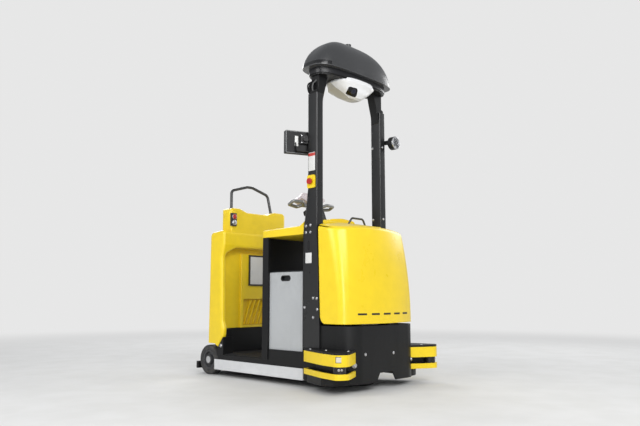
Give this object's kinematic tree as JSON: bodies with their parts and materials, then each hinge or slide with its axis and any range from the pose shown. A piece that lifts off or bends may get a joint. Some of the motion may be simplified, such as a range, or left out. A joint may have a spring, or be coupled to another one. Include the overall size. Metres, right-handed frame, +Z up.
{
  "type": "automated tow tractor",
  "caption": "Driverless stand-on tow tractor: low platform, yellow backrest and hood, two tall pillars with a scanner head, corner guards, rear tow hitch and a steered drive wheel.",
  "frame": {"origin": "on the floor under the middle of the outline", "axes": "+Z up, the tractor faces -Y, +X to its left"},
  "size_m": [1.1722, 1.88, 2.7048],
  "materials": {
    "black_steel": "satin black powder coat",
    "rubber_mat": "ribbed rubber",
    "pale_plate": "blank pale plate",
    "hitch_steel": "black cast steel",
    "yellow_shell": "safety yellow moulded panel",
    "holder_plastic": "black frame with a blank card",
    "tube_black": "black coated tube",
    "button_plastic": "black box with a red and a silver button",
    "battery_case": "dark battery case",
    "grey_panel": "light grey paint",
    "console_plastic": "black textured plastic",
    "smoke_window": "smoked window",
    "cover_gloss": "glossy charcoal",
    "camera_white": "off-white plastic",
    "camera_glass": "dark window",
    "switch_yellow": "yellow plate",
    "switch_red": "red mushroom button",
    "lamp_metal": "black lamp with a clear lens",
    "guard_yellow": "safety yellow paint",
    "scanner_plastic": "dark scanner window",
    "axle_steel": "machined steel",
    "tyre_rubber": "solid rubber",
    "hub_metal": "grey hub",
    "motor_metal": "black motor"
  },
  "bodies": {
    "chassis": {"main_frame": "black_steel", "kick_plate": "black_steel", "rear_bumper": "black_steel", "rear_panel": "black_steel", "bay_frame": "black_steel", "bulkhead": "black_steel", "front_box": "black_steel", "pillar_right": "black_steel", "pillar_left": "black_steel", "head_brackets": "black_steel", "head_tray": "black_steel", "lamp_bracket": "black_steel", "screen_bracket": "black_steel", "corner_guard_left": "black_steel", "corner_guard_right": "black_steel", "floor_mat": "rubber_mat", "side_strips": "pale_plate", "tow_hitch": "hitch_steel", "backrest_shell": "yellow_shell", "battery_cover": "yellow_shell", "dash_cover": "yellow_shell", "console_cowl": "yellow_shell", "document_holder": "holder_plastic", "grab_loop": "tube_black", "button_box": "button_plastic", "battery": "battery_case", "battery_panels": "grey_panel", "steering_console": "console_plastic", "operator_screen": "console_plastic", "scan_window": "smoke_window", "mast_cover": "cover_gloss", "top_antenna": "cover_gloss", "camera_housing": "camera_white", "camera_window": "camera_glass", "stop_plate": "switch_yellow", "stop_button": "switch_red", "forward_lamp": "lamp_metal", "guard_bands": "guard_yellow", "corner_scanners": "scanner_plastic", "rear_axles": "axle_steel"},
    "rear_wheel_left": {"rear_tyre_left": "tyre_rubber", "rear_hub_left": "hub_metal"},
    "rear_wheel_right": {"rear_tyre_right": "tyre_rubber", "rear_hub_right": "hub_metal"},
    "steering_turret": {"drive_turret": "axle_steel", "drive_motor": "motor_metal"},
    "drive_wheel": {"drive_tyre": "tyre_rubber", "drive_hub": "hub_metal"},
    "steering_handle": {"steering_head": "tube_black", "display_pod": "console_plastic"},
    "hood": {"front_hood": "yellow_shell", "hood_handle": "tube_black"}
  },
  "joints": [
    {"name": "rear_left_spin", "type": "hinge", "parent": "chassis", "child": "rear_wheel_left", "pos_m": [0.346, 0.772, 0.125], "axis": [1, 0, 0], "continuous": true},
    {"name": "rear_right_spin", "type": "hinge", "parent": "chassis", "child": "rear_wheel_right", "pos_m": [-0.346, 0.772, 0.125], "axis": [1, 0, 0], "continuous": true},
    {"name": "drive_steer", "type": "hinge", "parent": "chassis", "child": "steering_turret", "pos_m": [0, -0.64, 0.454], "axis": [0, 0, 1], "range_deg": [-90, 90]},
    {"name": "drive_spin", "type": "hinge", "parent": "steering_turret", "child": "drive_wheel", "pos_m": [0, -0.64, 0.125], "axis": [1, 0, 0], "continuous": true},
    {"name": "handle_turn", "type": "hinge", "parent": "chassis", "child": "steering_handle", "pos_m": [0, -0.103, 1.386], "axis": [0, 0.4226, 0.9063], "range_deg": [-60, 60]},
    {"name": "hood_tilt", "type": "hinge", "parent": "chassis", "child": "hood", "pos_m": [0, -0.836, 0.559], "axis": [1, 0, 0], "range_deg": [0, 75]}
  ]
}
